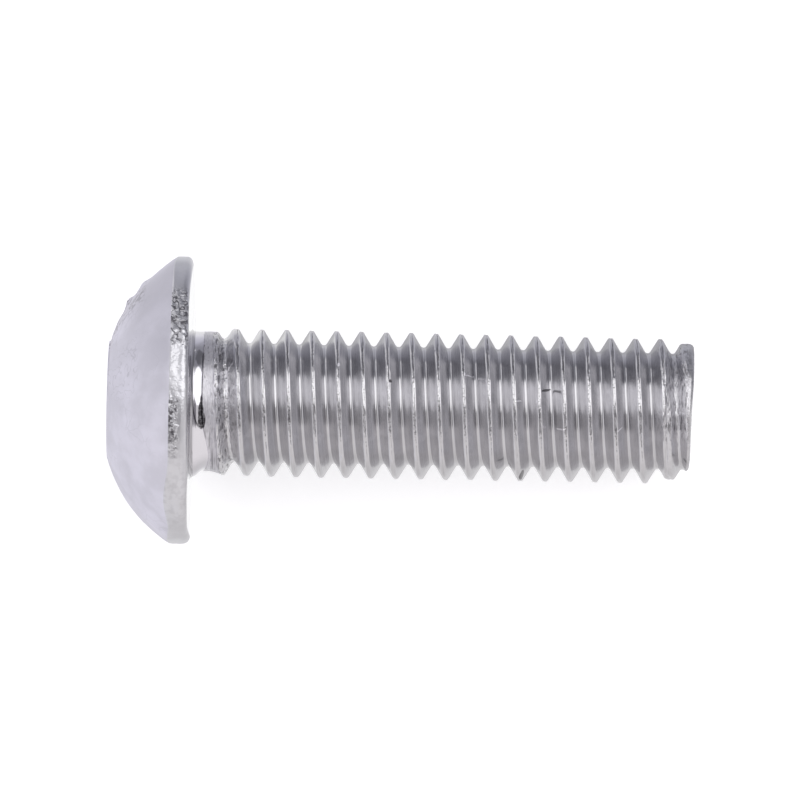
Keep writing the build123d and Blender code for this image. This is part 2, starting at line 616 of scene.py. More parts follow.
def add_thread(skin, shank, low_ring, low, high):
    """The thread's helical rows between two levels. Rows past a level are pulled to its ring."""
    steps = len(SECTION)
    pitch = shank.pitch
    close = 0.08 * pitch / steps
    first = math.floor((low - shank.thread_start) / pitch - 1)
    last = math.ceil((high - shank.thread_start) / pitch + 2)

    def end_ring(turn):
        return thread_place(shank, (high - groove_level(shank, turn)) / pitch, turn)[0], high

    high_ring = skin.ring(COLUMNS, end_ring)
    grid = {}
    for row in range(first * steps, last * steps + 1):
        phase = row // steps + SECTION[row % steps]
        for column in range(COLUMNS):
            turn = TURN * column / COLUMNS
            level = groove_level(shank, turn) + pitch * phase
            if level <= low + close:
                grid[row, column] = low_ring[column]
            elif level >= high - close:
                grid[row, column] = high_ring[column]
            else:
                radius, along = thread_place(shank, phase, turn)
                grid[row, column] = skin.point(radius, turn, min(max(along, low), high))

    # the last column of a row is followed by the first column of the row one pitch on
    for row in range(first * steps, last * steps):
        for column in range(COLUMNS):
            following = column + 1
            ahead = row
            if following == COLUMNS:
                following = 0
                ahead = row + steps
            if ahead + 1 <= last * steps:
                corners = (
                    grid[row, column],
                    grid[ahead, following],
                    grid[ahead + 1, following],
                    grid[row + 1, column],
                )
                skin.face(corners, "thread")
    return high_ring


def tip_shapes(shank, high):
    """The rounded edge of the cut end, and its shallow dish."""

    def ring(part_in, rise):
        def shape(turn):
            phase = (high - groove_level(shank, turn)) / shank.pitch
            edge = thread_place(shank, phase, turn)[0]
            radius = edge - shank.tip_round * part_in
            lean = math.tan(shank.tip_skew) * radius * math.sin(turn) + wander(turn, TIP_WANDER)
            rough = 0.004 * MM * grain(radius, turn, rise, 0.08 * MM)
            return radius, between(high, SCREW_LENGTH + lean, rise) + rough * rise

        return shape

    edge = []
    for step in range(1, 6):
        bend = TURN / 4 * step / 5
        edge.append(ring(1 - math.cos(bend), math.sin(bend)))

    def dish(part):
        def shape(turn):
            radius = (shank.tip_radius - shank.tip_round) * part
            lean = math.tan(shank.tip_skew) * radius * math.sin(turn)
            hollow = TIP_DISH * eased(1 - part)
            rough = 0.006 * MM * grain(radius, turn, 0, 0.15 * MM)
            return radius, SCREW_LENGTH + lean - hollow + rough

        return shape

    return edge + [dish(part) for part in (0.82, 0.66, 0.5, 0.33, 0.16)]


def build_skin(head, shank):
    """The whole screw as one closed skin."""
    skin = Skin()
    floor, *sides = socket_shapes(head)
    last = skin.ring(COLUMNS, floor)
    deepest = -HEAD_HEIGHT + head.socket_depth + head.socket_flats / 2 * FLOOR_SLOPE
    skin.cap(last, deepest, "socket", True)
    last = skin.rings(last, COLUMNS, sides, "socket")
    last = skin.rings(last, COLUMNS, dome_shapes(head), "dome")
    rims = rim_shapes(head)
    last = skin.rings(last, RIM_COLUMNS, rims[:1], "dome")
    last = skin.rings(last, RIM_COLUMNS, rims[1:], "rim")
    face, fillet = bearing_shapes(head, shank)
    last = skin.rings(last, COLUMNS, face, "bearing")
    last = skin.rings(last, COLUMNS, fillet, "neck")
    corner_end = shank.neck_fillet * CORNER[-1][1]
    last = skin.rings(last, COLUMNS, neck_shapes(shank, corner_end, ROWS_START), "neck")
    high = SCREW_LENGTH - shank.tip_round
    last = add_thread(skin, shank, last, ROWS_START, high)
    last = skin.rings(last, COLUMNS, tip_shapes(shank, high), "tip")
    skin.cap(last, SCREW_LENGTH - TIP_DISH, "tip", False)
    return skin


def added(name, data):
    """A new object in the scene."""
    made = bpy.data.objects.new(name, data)
    bpy.context.scene.collection.objects.link(made)
    return made


def skin_object(skin, name, materials):
    """The skin as a mesh object, laid where the screw lies."""
    mesh = bpy.data.meshes.new(name)
    axes = Matrix((DOWN_WAY, SIDE_WAY, TIP_WAY)).transposed()
    points = [BEARING + axes @ point for point in skin.points]
    mesh.from_pydata(points, [], skin.faces)
    for material in materials:
        mesh.materials.append(material)
    mesh.polygons.foreach_set("material_index", skin.finishes)
    mesh.polygons.foreach_set("use_smooth", [True] * len(mesh.polygons))
    mesh.set_sharp_from_angle(angle=SHARP_ANGLE)
    mesh.validate()
    mesh.update()
    return added(name, mesh)


# ---------------------------------------------------------------------------------------------
# Nodes
# ---------------------------------------------------------------------------------------------


def maths(operation, *values, output=0, **settings):
    """A node that works out the operation, on vectors if the first wire carries one."""
    first = next(value for value in values if isinstance(value, Wire))
    kind = "ShaderNodeMath" if first.socket.type == "VALUE" else "ShaderNodeVectorMath"
    return first.tree.wire(kind, dict(enumerate(values)), output, operation=operation, **settings)


def most(first, *others):
    """The highest of the wires."""
    for other in others:
        first = maths("MAXIMUM", first, other)
    return first


def layered(colour_now, *layers):
    """A colour with others laid over it in turn, each as thick as the wire beside it."""
    for cover, over in layers:
        colour_now = cover.between(colour_now, over)
    return colour_now


class Wire:
    """What a node gives out. Arithmetic written with wires adds the nodes that do it."""

    def __init__(self, tree, socket):
        self.tree = tree
        self.socket = socket

    def __add__(self, other):
        return maths("ADD", self, other)

    def __sub__(self, other):
        return maths("SUBTRACT", self, other)

    def __rsub__(self, other):
        return maths("SUBTRACT", other, self)

    def __mul__(self, other):
        if self.socket.type == "VALUE" or isinstance(other, tuple):
            return maths("MULTIPLY", self, other)
        return self.tree.scaled(self, other)

    def __truediv__(self, other):
        return maths("DIVIDE", self, other)

    def __rtruediv__(self, other):
        return maths("DIVIDE", other, self)

    def __pow__(self, power):
        return maths("POWER", self, power)

    def __abs__(self):
        return maths("ABSOLUTE", self)

    def dot(self, way):
        """How far a vector reaches along a way."""
        return maths("DOT_PRODUCT", self, way, output=1)

    def wrapped(self):
        """The same turn, in parts of a full one, from -0.5 to 0.5."""
        return maths("WRAP", self, 0.5, -0.5)

    def span(self, low, high, to_low=0.0, to_high=1.0, smooth=True):
        """The wire's run from low to high, mapped to run from to_low to to_high."""
        inputs = dict(enumerate((self, low, high, to_low, to_high)))
        easing = "SMOOTHSTEP" if smooth else "LINEAR"
        return self.tree.wire("ShaderNodeMapRange", inputs, interpolation_type=easing)

    def noise(self, scale, detail=3.0, rough=0.5, output=0):
        """Noise at the place that the wire gives."""
        inputs = {"Vector": self, "Scale": scale, "Detail": detail, "Roughness": rough}
        return self.tree.wire("ShaderNodeTexNoise", inputs, output)

    def between(self, low, high):
        """A colour that goes from low, where the wire is 0, to high, where it is 1."""
        inputs = {0: self, 6: low, 7: high}
        return self.tree.wire("ShaderNodeMix", inputs, 2, data_type="RGBA", clamp_factor=True)

    def bump(self, strength, distance):
        """The normal of a surface that is as high as the wire."""
        inputs = {"Height": self, "Strength": strength, "Distance": distance}
        return self.tree.wire("ShaderNodeBump", inputs)


class Tree:
    """Short ways of adding nodes to a tree."""

    def __init__(self, tree):
        self.nodes = tree.nodes
        self.links = tree.links

    def give(self, node, inputs):
        """Links wires to a node's inputs, and sets plain values on them."""
        for key, value in inputs.items():
            if isinstance(value, Wire):
                self.links.new(value.socket, node.inputs[key])
            else:
                node.inputs[key].default_value = value

    def node(self, kind, inputs=None, **settings):
        """A new node, with its settings and its inputs."""
        made = self.nodes.new(kind)
        for name, value in settings.items():
            setattr(made, name, value)
        self.give(made, inputs or {})
        return made

    def wire(self, kind, inputs=None, output=0, **settings):
        """One output of a new node, by its number or name."""
        return Wire(self, self.node(kind, inputs, **settings).outputs[output])

    def wires(self, node):
        """All the outputs of a node, by name."""
        return {socket.name: Wire(self, socket) for socket in node.outputs}

    def combined(self, *parts):
        """A vector of up to three parts."""
        return self.wire("ShaderNodeCombineXYZ", dict(enumerate(parts)))

    def scaled(self, vector, factor):
        """The vector, that many times as long."""
        return self.wire("ShaderNodeVectorMath", {0: vector, "Scale": factor}, operation="SCALE")

    def group(self, group, inputs=None):
        """Places a node group, and gives its outputs by name."""
        return self.wires(self.node("ShaderNodeGroup", inputs, node_tree=group))


FLOAT = "NodeSocketFloat"
VECTOR = "NodeSocketVector"
COLOUR = "NodeSocketColor"


def new_group(name, inputs, outputs):
    """A node group, its tree, its inputs by name and the node for its outputs."""
    group = bpy.data.node_groups.new(name, "ShaderNodeTree")
    for socket, (kind, default) in inputs.items():
        made = group.interface.new_socket(socket, in_out="INPUT", socket_type=kind)
        made.default_value = default
    for socket, kind in outputs.items():
        group.interface.new_socket(socket, in_out="OUTPUT", socket_type=kind)
    tree = Tree(group)
    return group, tree, tree.wires(tree.node("NodeGroupInput")), tree.node("NodeGroupOutput")


def screw_place_group(shank):
    """Where a point is on the screw, in millimetres, and its place across the thread."""
    outputs = {"Place": VECTOR, "Along": FLOAT, "Out": FLOAT, "Round": FLOAT, "Phase": FLOAT}
    group, tree, _, target = new_group("Screw place", {}, outputs)
    from_face = (tree.wire("ShaderNodeTexCoord", output="Object") - BEARING) * (1 / MM)
    down, side, along = (from_face.dot(way) for way in (DOWN_WAY, SIDE_WAY, TIP_WAY))
    place = tree.combined(down, side, along)
    out = maths("LENGTH", tree.combined(down, side), output=1)
    around = maths("ARCTAN2", side, down) / TURN
    steady = along - down / out * (shank.thread_sway / MM)
    winding = (steady - shank.thread_start / MM) / (shank.pitch / MM)
    phase = maths("FRACT", winding - (around - shank.start_angle / TURN))
    tree.give(target, {"Place": place, "Along": along, "Out": out, "Round": around, "Phase": phase})
    return group


def fine_grain_group():
    """Even metal grain: a height and a slow mottle, both about a half."""
    group, tree, source, target = new_group(
        "Fine grain",
        {"Place": (VECTOR, (0, 0, 0)), "Size": (FLOAT, 0.03), "Mottle size": (FLOAT, 0.5)},
        {"Height": FLOAT, "Mottle": FLOAT},
    )
    fine = source["Place"].noise(1.0 / source["Size"], 3.0, 0.6)
    slow = source["Place"].noise(1.0 / source["Mottle size"], 4.0, 0.55)
    tree.give(target, {"Height": fine, "Mottle": slow})
    return group


def edge_wear_group():
    """Wear on convex edges and soil in hollow ones, both broken up by a noise."""
    group, tree, source, target = new_group(
        "Edge wear",
        {"Place": (VECTOR, (0, 0, 0)), "Reach": (FLOAT, 0.03), "Break size": (FLOAT, 0.1)},
        {"Wear": FLOAT, "Hollow": FLOAT},
    )
    lifted = tree.wire("ShaderNodeNewGeometry", output="Pointiness") - 0.5
    reach = source["Reach"] * (source["Place"].noise(1.0 / source["Break size"], 2.0) + 0.5)
    wear = maths("DIVIDE", lifted, reach, use_clamp=True)
    hollow = maths("DIVIDE", lifted * -1.0, reach, use_clamp=True)
    tree.give(target, {"Wear": wear, "Hollow": hollow})
    return group


def shared_groups(shank):
    """The node groups that the finishes share."""
    return {
        "place": screw_place_group(shank),
        "grain": fine_grain_group(),
        "wear": edge_wear_group(),
    }


# ---------------------------------------------------------------------------------------------
# Finishes
# ---------------------------------------------------------------------------------------------


class Steel(Tree):
    """A new metal material, which knows where each of its points is on the screw."""

    def __init__(self, name, groups):
        self.material = bpy.data.materials.new(name)
        self.material.use_nodes = True
        super().__init__(self.material.node_tree)
        self.groups = groups
        where = self.group(groups["place"])
        self.place = where["Place"]
        self.along = where["Along"]
        self.out = where["Out"]
        self.around = where["Round"]
        self.phase = where["Phase"]

    def finished(self, colour, roughness, normal):
        """The material, with its colour, roughness and normal linked."""
        inputs = {"Base Color": colour, "Metallic": 1.0, "Roughness": roughness, "Normal": normal}
        self.give(self.nodes["Principled BSDF"], inputs)
        return self.material

    def grain(self, size, mottle_size):
        """The height and the mottle of the fine grain."""
        inputs = {"Place": self.place, "Size": size, "Mottle size": mottle_size}
        made = self.group(self.groups["grain"], inputs)
        return made["Height"], made["Mottle"]

    def wear(self, reach, break_size):
        """Worn convex edges, and hollow ones."""
        inputs = {"Place": self.place, "Reach": reach, "Break size": break_size}
        made = self.group(self.groups["wear"], inputs)
        return made["Wear"], made["Hollow"]

    def arc(self, middle, half, fade):
        """1 over an arc round the screw and 0 outside it. Degrees, as in the shapes."""
        away = abs((self.around - middle / 360).wrapped())
        return away.span((half - fade) / 360, (half + fade) / 360, 1.0, 0.0)

    def mark(self, uneven, turn, along, half_turn, half_along, slant=0.0):
        """1 on a small mark with uneven edges: its place round and along, and its reach.

        The slant is how many degrees round it shifts in each millimetre along.
        """
        ahead = self.along - along
        beside = (self.around - (ahead * (slant / 360) + turn / 360)).wrapped()
        away = (beside * (360 / half_turn)) ** 2.0 + (ahead * (1 / half_along)) ** 2.0
        return (away + uneven * 1.6).span(2.1, 1.4)

    def marks(self, uneven, listed):
        """All the listed marks together."""
        return most(*(self.mark(uneven, *each) for each in listed))

    def curls(self, scale, width, rough=0.5):
        """Thin curling lines: 1 on a line and 0 away from it."""
        winding = self.place.noise(scale, 1.5, rough)
        return abs(winding - 0.5).span(width * 0.3, width, 1.0, 0.0)

    def streaks(self, scale):
        """Ragged streaks that run round the screw."""
        return (self.place * (scale, scale, 5 * scale)).noise(1.0, 3.0, 0.62)

    def drag_lines(self):
        """Fine dark lines round the collar, on the side where the rollers dragged it."""
        lines = self.combined(self.along * 26.0, self.around * 7.0).noise(1.0, 1.0)
        return lines.span(0.44, 0.36, 0.0, 0.6) * self.arc(232, 26, 7)


def shade(rgb, factor):
    """A colour made darker or lighter."""
    return (rgb[0] * factor, rgb[1] * factor, rgb[2] * factor, 1)


def tumbled_dome(groups, finish):
    """Matte tumbled steel with faint creases and mottles, wrinkled in places, with a patch of painted
    dark reflection.
    """
    steel = Steel("Tumbled steel", groups)
    place = steel.place
    height, mottle = steel.grain(0.035, 0.7)
    inputs = {"Vector": place + place.noise(3.0, output=1) * 0.25, "Scale": 3.2}
    creases = steel.wire("ShaderNodeTexVoronoi", inputs, feature="DISTANCE_TO_EDGE")
    creases = creases.span(0.0, 0.06, 1.0, 0.0) * place.noise(0.9, 2.0).span(0.5, 0.68)
    # painted dark reflection: a patch of the dome made darker, in place of a dark part of the room seen
    # in it
    dark_reflection_patch = steel.arc(122, 20, 18) * steel.along.span(-1.4, -0.9)
    wrinkles = steel.curls(3.4, 0.02, 0.75) * steel.arc(163, 16, 8) * steel.along.span(-0.95, -1.1)
    cracks = steel.curls(5.0, 0.05) * steel.arc(104, 16, 8) * steel.along.span(-0.88, -1.02)

    colour_now = layered(
        shade(finish.dome, 0.9),
        (mottle.span(0.35, 0.68), shade(finish.dome, 1.05)),
        (creases * 0.25, shade(finish.dome, 0.6)),
        (dark_reflection_patch * 0.5, shade(finish.dome, 0.62)),
        (wrinkles * 0.3, shade(finish.dome, 0.55)),
        (cracks * 0.6, shade(finish.soil_and_shade, 2.2)),
    )
    height = height * 0.5 + mottle - creases * 0.3
    return steel.finished(colour_now, mottle.span(0.3, 0.7, 0.44, 0.54), height.bump(0.35, 0.004 * MM))


def forged_rim(groups, finish):
    """The forged edge: smooth stretches, and torn ones full of small curled folds."""
    steel = Steel("Forged rim steel", groups)
    _, hollow = steel.wear(0.04, 0.1)
    _, mottle = steel.grain(0.05, 0.35)
    folds = steel.curls(6.5, 0.08)
    facets = steel.place.noise(9.0, 1.5)
    torn = most(*(steel.arc(middle, half, 5) for middle, half in TORN_ARCS))
    deep = steel.arc(142.5, 13, 4)

    # the pitted band along the dome's edge
    ragged = facets * 0.26 + (steel.along - 0.13)
    edge = steel.arc(189, 12, 6) * ragged.span(-0.17, -0.24)
    pits = most(steel.place.noise(8.0, 3.0, 0.6).span(0.49, 0.56), folds * 0.6) * edge

    # painted shade: the curled folds are darkened only over the deeply torn arc, which reflects the
    # dark part of the room
    fold_shade_and_soil = folds * facets.span(0.35, 0.55, 0.25, 1.0) * (deep * 0.8)
    faint = facets.span(0.45, 0.62, 0.0, 0.1) * steel.arc(221, 18, 9)
    soil_and_shade = most(fold_shade_and_soil, pits * 0.9, hollow * 0.3, faint)
    colour_now = layered(
        shade(finish.rim, 0.95),
        (mottle.span(0.35, 0.65), shade(finish.rim, 1.03)),
        (soil_and_shade, shade(finish.soil_and_shade, 1.3)),
    )
    height = facets - folds * (deep * 0.5 + 0.15)
    height = height * (most(torn * 0.42 + deep * 0.5, edge) + 0.04)
    return steel.finished(colour_now, torn.span(0.0, 1.0, 0.3, 0.33), height.bump(0.8, 0.035 * MM))


# Small marks: how far round in degrees and along in millimetres, their reach in both, and their slant.
# The black marks and the blotch of painted shade are on the neck, the nicks and scuffs on the thread.
DARK_SLANT_MARKS = ((181, 0.235, 5, 0.018), (188, 0.232, 6, 0.042), (195.5, 0.25, 6, 0.058))
SHADE_BLOTCH = (140, 0.19, 8, 0.09)
NICKS = (
    (163, 7.075, 1.1, 0.08, -29),
    (250.5, 6.63, 7.0, 0.045),
    (246, 6.4, 1.4, 0.03),
    (230, 9.88, 1.2, 0.03),
    (160, 3.98, 1.2, 0.03),
)
SCUFFS = (
    (151.5, 5.55, 0.7, 0.085, -31),
    (153.2, 5.46, 1.2, 0.022),
    (196.9, 7.39, 0.7, 0.085, -18),
    (196, 8.56, 0.7, 0.05, -18),
    (174, 6.52, 0.6, 0.06, -8),
    (147, 2.95, 1.4, 0.03),
)

# The painted shade line round the near side of the bright barrel is part of an ellipse: its middle and
# its reach, in degrees round and in millimetres along.
BARREL_SHADE_ROUND = (172, 29)
BARREL_SHADE_ALONG = (0.222, 0.163)


def barrel_shade_line(steel):
    """The painted shade line that runs from the black marks round the near side of the bright barrel.
    """
    middle, reach = BARREL_SHADE_ROUND
    beside = (steel.around - middle / 360).wrapped() * (360 / reach)
    middle, reach = BARREL_SHADE_ALONG
    ahead = (steel.along - middle) * (1 / reach)
    line = abs(beside**2.0 + ahead**2.0 - 1.0).span(0.03, 0.17, 0.85, 0.0)
    return line * steel.arc(184, 18, 6) * steel.along.span(0.24, 0.2)


def drawn_neck(groups, finish, shank):
    """The bright drawn neck, with a matte smeared collar where the thread was rolled out."""
    steel = Steel("Drawn neck steel", groups)
    grains, mottle = steel.grain(0.045, 0.25)
    rolled = steel.streaks(8.0)
    middle, half, further = NECK_RUN[0]
    edge = steel.along + ((mottle - 0.5) * 0.05 - steel.arc(middle, half / 2, half / 2) * further)
    end = shank.neck_end / MM
    collar = edge.span(end - 0.003, end + 0.015)
    torn = collar * steel.arc(138, 30, 14)
    # painted shade in the groove at the end of the drawn neck, on its open side
    groove = abs(edge - (end + 0.003)).span(0.004, 0.018, 1.0, 0.0) * steel.arc(172, 34, 14)

    # black marks in the slanting end of the groove, and a blotch of painted shade on the far side
    dark_slant = steel.marks(abs(rolled - 0.5), DARK_SLANT_MARKS) * grains.span(0.62, 0.5, 0.7, 1.0)
    soil_and_shade = most(
        rolled.span(0.58, 0.68) * (torn * 0.8),
        groove * 0.6,
        steel.mark(rolled, *SHADE_BLOTCH) * 0.5,
        dark_slant * 0.97,
        barrel_shade_line(steel),
        steel.drag_lines() * collar,
    )

    smeared = rolled.span(0.35, 0.65).between(shade(finish.neck, 0.77), shade(finish.neck, 1.0))
    # painted shade in the corner under the head, broken by faint rings
    rings = steel.combined(steel.out * 60.0).noise(1.0, 2.0)
    ringed_corner_shade = rings.span(0.4, 0.6).between(shade(finish.neck, 0.45), shade(finish.neck, 0.8))
    # painted light on the neck: a painted highlight over the arc at 122 degrees, and painted shade over
    # the arcs at 264 and 92 degrees
    colour_now = layered(
        shade(finish.neck, 1.0),
        (steel.arc(122, 11, 8), shade(finish.neck, 1.16)),
        (steel.arc(264, 24, 10), shade(finish.neck, 0.86)),
        (steel.arc(92, 12, 6), shade(finish.neck, 0.8)),
        (collar, smeared),
        (steel.along.span(0.085, 0.065), ringed_corner_shade),
        (soil_and_shade, shade(finish.soil_and_shade, 0.5)),
    )
    height = rolled * collar.span(0.0, 1.0, 0.04, 1.0) - dark_slant * 0.5
    return steel.finished(colour_now, collar.span(0.0, 1.0, 0.1, 0.4), height.bump(0.5, 0.008 * MM))


def bearing_steel(groups, finish):
    """The pressed bearing face, with faint rings. Its colour is the rim's made lighter, a painted sheen
    so that it shines white where it is seen edge on.
    """
    steel = Steel("Bearing face steel", groups)
    grains, mottle = steel.grain(0.06, 0.4)
    rings = steel.combined(steel.out * 25.0, steel.around).noise(1.0)
    # painted sheen: the rim's colour made lighter
    colour_now = mottle.span(0.35, 0.65).between(shade(finish.rim, 1.16), shade(finish.rim, 1.3))
    height = rings + grains * 0.4
    return steel.finished(colour_now, mottle.span(0.3, 0.7, 0.07, 0.11), height.bump(0.06, 0.001 * MM))


def rolled_thread(groups, finish, shank):
    """Burnished rolled steel: fine lines along the thread, bright lips, painted shade in the folds."""
    steel = Steel("Rolled thread steel", groups)
    place = steel.place
    wear, _ = steel.wear(0.05, 0.12)
    grains, mottle = steel.grain(0.05, 0.45)
    across = maths("FRACT", steel.phase + 0.5)
    from_root = abs(across - 0.5)
    lines = steel.combined(across * 30.0, steel.out * 9.0, steel.along * 0.9).noise(1.0, 3.0, 0.6)
    tone = lines * 0.6 + mottle * 0.4

    # the fold between the lips, with painted shade where it is open, and specks on the lips
    from_seam = abs((across - shank.seam_offset / shank.pitch).wrapped())
    seam_shade = from_seam.span(0.006, 0.02, 1.0, 0.0) * mottle.span(0.38, 0.52)
    seam_shade = seam_shade * place.noise(20.0, 1.0).span(0.42, 0.54) * steel.arc(125, 95, 16)
    pressed_shut = steel.arc(173, 15, 5)
    seam_shade = seam_shade * (1.0 - pressed_shut * 0.8)
    head_lip = across.span(0.92, 0.94) * across.span(0.985, 0.965)
    specks = (head_lip * 0.07 + place.noise(38.0, 1.0)).span(0.54, 0.63)
    specks = specks * from_root.span(0.43, 0.46) * steel.arc(165, 41, 6)

    # how far along from the first crest, before which the blank is still the smeared collar
    first = (shank.thread_start - shank.pitch * (0.52 + shank.start_angle / TURN)) / MM
    lead = steel.along - (maths("FRACT", steel.around) * (shank.pitch / MM) + first)
    collar = lead.span(0.012, -0.012) * steel.arc(190, 125, 25)
    uneven = (mottle - 0.5) * 0.7
    torn_end = (steel.along + uneven).span(9.2, 9.6, 0.0, 0.9) * steel.arc(150, 54, 12)
    torn = most((lead + uneven).span(0.34, 0.16), torn_end)
    ragged = steel.streaks(5.0)
    fold_shade_and_soil = ragged.span(0.46, 0.38) * torn * (0.75 - collar * 0.5)
    rough_edge = grains * 0.6
    nicks = steel.marks(rough_edge, NICKS)
    scuffs = steel.marks(rough_edge, SCUFFS)

    colour_now = layered(
        shade(finish.thread, 0.88),
        (tone.span(0.36, 0.62), shade(finish.thread, 1.05)),
        (wear * 0.5, shade(finish.thread, 1.2)),
        (seam_shade * 0.85, shade(finish.soil_and_shade, 0.7)),
        (specks * 0.5, shade(finish.soil_and_shade, 0.9)),
        (torn * 0.6, shade(finish.thread, 1.25)),
        (collar, shade(finish.neck, 0.87)),
        (fold_shade_and_soil, shade(finish.soil_and_shade, 1.0)),
        (steel.drag_lines() * collar, shade(finish.soil_and_shade, 1.0)),
        (scuffs, shade(finish.thread, 1.6)),
        (nicks * 0.9, shade(finish.soil_and_shade, 0.8)),
    )
    height = lines * 0.6 + grains * 0.18 + ragged * (torn * 12.0) + scuffs * 0.8 - nicks * 1.5
    flank = from_root.span(0.06, 0.13) * from_root.span(0.45, 0.41)
    roughness = most(tone.span(0.35, 0.65, 0.11, 0.17) + flank * 0.09, collar * 0.4, torn * 0.25)
    return steel.finished(colour_now, roughness, height.bump(0.45, 0.006 * MM))


def punched_socket(groups, finish):
    """The punched socket: drag lines down its flats, and painted shade that grows darker towards its
    floor.
    """
    steel = Steel("Punched socket steel", groups)
    _, mottle = steel.grain(0.05, 0.4)
    drag = (steel.place * (14.0, 14.0, 1.2)).noise(1.0)
    colour_now = layered(
        shade(finish.dome, 0.92),
        # painted shade, darker towards the socket's floor
        (steel.along.span(-1.5, -0.6) * 0.9, shade(finish.dome, 0.36)),
        (mottle.span(0.55, 0.7) * 0.3, shade(finish.soil_and_shade, 1.5)),
    )
    return steel.finished(colour_now, drag.span(0.3, 0.7, 0.28, 0.42), drag.bump(0.4, 0.01 * MM))


def cut_tip(groups, finish):
    """The pinched-off end: coarse shear marks across a matte face."""
    steel = Steel("Cut tip steel", groups)
    grains, mottle = steel.grain(0.06, 0.3)
    shear = (steel.place * (3.0, 22.0, 3.0)).noise(1.0)
    colour_now = mottle.span(0.35, 0.65).between(shade(finish.thread, 0.85), shade(finish.thread, 1.05))
    height = shear * 0.7 + grains * 0.5
    return steel.finished(colour_now, shear.span(0.3, 0.7, 0.22, 0.4), height.bump(0.5, 0.012 * MM))


# ---------------------------------------------------------------------------------------------
# Studio
# ---------------------------------------------------------------------------------------------


def add_camera(studio):
    """A long lens square to the screw's axis, looking down on it."""
    up = -DOWN_WAY
    target = BEARING + TIP_WAY * studio.aim_along + SIDE_WAY * studio.aim_side
    right = Matrix.Rotation(studio.camera_roll, 3, up) @ TIP_WAY
    axes = Matrix((right, up.cross(right), up)).transposed()
    data = bpy.data.cameras.new("Camera")
    data.lens = data.sensor_width * studio.camera_distance / studio.frame_width
    data.clip_start = 0.01
    camera = added("Camera", data)
    camera.matrix_world = Matrix.Translation(target + up * studio.camera_distance) @ axes.to_4x4()
    bpy.context.scene.camera = camera


def add_soft_box(studio):
    """A round soft box over the screw, to the far side of it and towards its tip."""
    back = Matrix.Rotation(-studio.box_side, 3, TIP_WAY) @ -DOWN_WAY
    back = Matrix.Rotation(studio.box_tip, 3, SIDE_WAY) @ back
    along = (TIP_WAY - back * back.dot(TIP_WAY)).normalized()
    data = bpy.data.lights.new("Soft box", "AREA")
    data.shape = "ELLIPSE"
    data.size = 2 * studio.box_distance * math.tan(studio.box_half_along)
    data.size_y = 2 * studio.box_distance * math.tan(studio.box_half_side)
    data.energy = studio.soft_box * math.pi * math.pi / 4 * data.size * data.size_y
    lamp = added("Soft box", data)
    centre = BEARING + TIP_WAY * SCREW_LENGTH / 2 + back * studio.box_distance
    axes = Matrix((along, back.cross(along), back)).transposed()
    lamp.matrix_world = Matrix.Translation(centre) @ axes.to_4x4()
    lamp.visible_camera = False


# Brightness and tint of the room round the screw, by the angle from straight above, in degrees,
# positive towards the far side.
ROOM = (
    (-180, (1.05, 1.05, 1.05)),
    (-150, (0.87, 0.86, 0.87)),
    (-112, (0.82, 0.8, 0.8)),
    (-90, (0.98, 0.95, 0.95)),
    (-44, (1.0, 0.97, 0.97)),
    (-34, (0.72, 0.7, 0.7)),
    (54, (0.62, 0.61, 0.63)),
    (60, (0.27, 0.27, 0.3)),
    (97, (0.27, 0.27, 0.3)),
    (112, (0.5, 0.5, 0.56)),
    (132, (0.64, 0.64, 0.69)),
    (150, (0.85, 0.85, 0.88)),
    (180, (1.05, 1.05, 1.05)),
)
HEAD_WALL = (0.95, 0.94, 0.97, 1)
TIP_WALL = (0.72, 0.71, 0.73, 1)

# A dark card overhead, on the near side of the soft box, for the steel to reflect.
CARD = (0.2, 0.19, 0.21, 1)
CARD_LEAN = math.radians(-19)
CARD_HALF_ACROSS = math.radians(24)
CARD_HALF_ALONG = math.radians(9)
CARD_TO_TIP = math.radians(5)

WHITE = (1, 1, 1, 1)
BLACK = (0, 0, 0, 1)

# What the floor adds to its own lit colour as the camera sees it, and half its width
FLOOR_GLOW = (0.45, 0.45, 0.45, 1)
FLOOR_HALF = 1.2


def room_group():
    """The room's light round the screw, from a direction and how far that leans to its ends."""
    group, tree, source, target = new_group(
        "Room", {"Way": (VECTOR, (0, 0, 1)), "Ends": (FLOAT, 1.0)}, {"Light": COLOUR}
    )
    across, upward, along = (source["Way"].dot(axis) for axis in (SIDE_WAY, -DOWN_WAY, TIP_WAY))
    lean = maths("ARCTAN2", across, upward).span(-math.pi, math.pi, smooth=False)
    ramp = tree.node("ShaderNodeValToRGB", {0: lean})
    stops = ramp.color_ramp.elements
    for place, (degrees, tint) in enumerate(ROOM):
        position = (degrees + 180) / 360
        if 0 < place < len(ROOM) - 1:
            stop = stops.new(position)
        else:
            stop = stops[0 if place == 0 else -1]
            stop.position = position
        stop.color = (*tint, 1)
    along = along * source["Ends"]
    strip = along.span(-0.14, -0.3, 0.0, 0.9) * along.span(-0.62, -0.78, 1.0, 0.52)
    far_wall = along.span(-0.86, -0.97, 0.0, 0.95)
    tip_wall = along.span(0.4, 0.75, 0.0, 0.45)
    light = Wire(tree, ramp.outputs[0])
    light = layered(light, (most(strip, far_wall), HEAD_WALL), (tip_wall, TIP_WALL))
    tree.give(target, {"Light": light})
    return group


